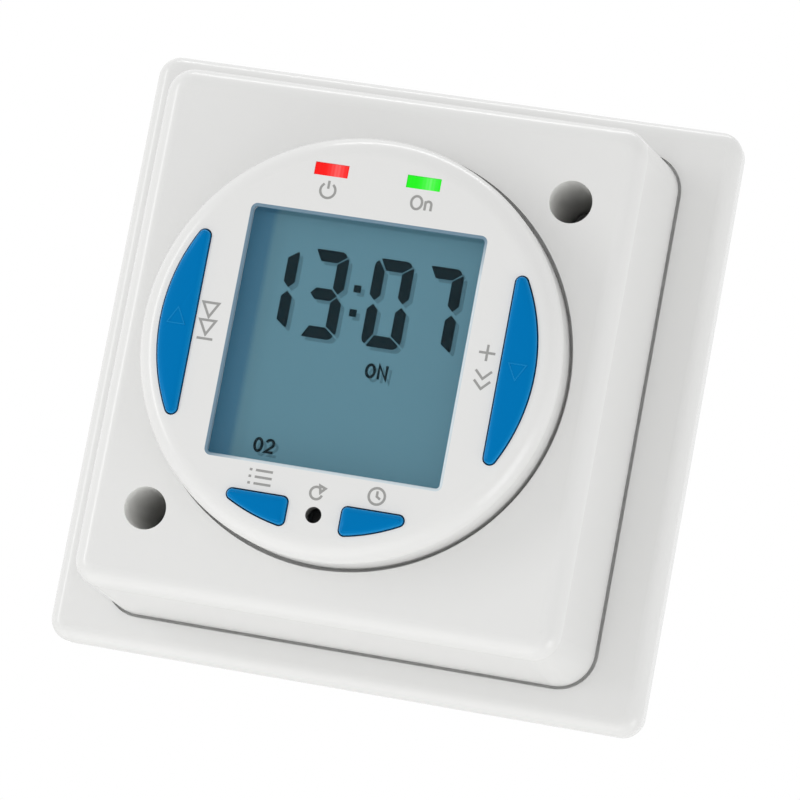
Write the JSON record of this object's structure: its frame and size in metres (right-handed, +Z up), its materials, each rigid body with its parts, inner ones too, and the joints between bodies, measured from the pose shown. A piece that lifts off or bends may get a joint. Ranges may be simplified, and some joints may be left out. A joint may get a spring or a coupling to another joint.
{
  "type": "timer light switch",
  "caption": "Square white wall plate with a deep timer body: a round dial with a display, blue push buttons and lamps, and wire terminals behind the plate.",
  "frame": {"origin": "centre of the wall plate on its wall face, midway between the two box screws", "axes": "+X to the right seen from the front, +Z up, +Y into the wall"},
  "size_m": [0.086, 0.0522, 0.086],
  "materials": {
    "white_plastic": "glossy moulded",
    "grey_plastic": "fine moulded grain",
    "brass": "machined",
    "steel": "zinc plated",
    "clear": "clear polished",
    "lcd": "grey-blue display",
    "guide": "clear moulded",
    "frame_white": "moulded",
    "strip_rubber": "layered silicone",
    "board": "solder mask",
    "blue_plastic": "glossy moulded",
    "black_plastic": "moulded",
    "switch_grey": "moulded",
    "red_lamp": "translucent",
    "green_lamp": "translucent",
    "led_white": "potted",
    "relay_blue": "moulded",
    "copper": "wound or rolled",
    "iron": "plated iron",
    "film_yellow": "potted box",
    "can_sleeve": "shrink sleeve",
    "disc_blue": "dipped coating",
    "resistor_tan": "dipped coating",
    "gold_pin": "plated"
  },
  "bodies": {
    "switch": {"wall_plate": "white_plastic", "front_body": "white_plastic", "dial_bezel": "white_plastic", "terminal_housing": "grey_plastic", "back_cover": "grey_plastic", "plate_inserts": "brass", "terminal_cages": "brass", "blade_pins": "brass", "housing_screws": "steel", "terminal_screws": "steel", "cover_screws": "steel", "body_screws": "steel", "board_screws": "steel", "power_board_screws": "steel", "crystal": "steel", "backup_battery": "steel", "battery_tabs": "steel", "lcd_lens": "clear", "lcd_cell": "lcd", "light_guide": "guide", "lcd_frame": "frame_white", "backlight_leds": "led_white", "contact_strips": "strip_rubber", "display_board": "board", "power_board": "board", "override_switch": "switch_grey", "boost_switch": "switch_grey", "program_switch": "switch_grey", "time_switch": "switch_grey", "reset_switch": "switch_grey", "power_lamp": "red_lamp", "on_lamp": "green_lamp", "power_led": "led_white", "on_led": "led_white", "microcontroller": "black_plastic", "link_socket": "black_plastic", "link_header": "gold_pin", "relay_base": "black_plastic", "relay_cover": "relay_blue", "relay_coil": "copper", "relay_yoke": "iron", "relay_contact": "copper", "film_capacitor": "film_yellow", "electrolytic_capacitor": "can_sleeve", "varistor": "disc_blue", "bridge_rectifier": "black_plastic", "fuse_resistor": "resistor_tan"},
    "override_key": {"override_button": "blue_plastic", "override_plunger": "black_plastic"},
    "boost_key": {"boost_button": "blue_plastic", "boost_plunger": "black_plastic"},
    "program_key": {"program_button": "blue_plastic", "program_plunger": "black_plastic"},
    "time_key": {"time_button": "blue_plastic", "time_plunger": "black_plastic"},
    "reset_key": {"reset_plunger": "black_plastic"},
    "armature": {"relay_armature": "iron", "relay_spring": "copper"}
  },
  "joints": [
    {"name": "override_press", "type": "slide", "parent": "switch", "child": "override_key", "axis": [0, 1, 0], "range_m": [0, 0.0006], "stiffness_N_per_m": 1500, "springref_m": -0.0002},
    {"name": "boost_press", "type": "slide", "parent": "switch", "child": "boost_key", "axis": [0, 1, 0], "range_m": [0, 0.0006], "stiffness_N_per_m": 1500, "springref_m": -0.0002},
    {"name": "program_press", "type": "slide", "parent": "switch", "child": "program_key", "axis": [0, 1, 0], "range_m": [0, 0.0006], "stiffness_N_per_m": 1500, "springref_m": -0.0002},
    {"name": "time_press", "type": "slide", "parent": "switch", "child": "time_key", "axis": [0, 1, 0], "range_m": [0, 0.0006], "stiffness_N_per_m": 1500, "springref_m": -0.0002},
    {"name": "reset_press", "type": "slide", "parent": "switch", "child": "reset_key", "axis": [0, 1, 0], "range_m": [0, 0.0006], "stiffness_N_per_m": 1500, "springref_m": -0.0002},
    {"name": "relay_pull", "type": "hinge", "parent": "switch", "child": "armature", "pos_m": [-0.0211, -0.02165, 0.008], "axis": [0, 0, 1], "range_deg": [0, 3], "stiffness_Nm_per_rad": 0.01}
  ]
}
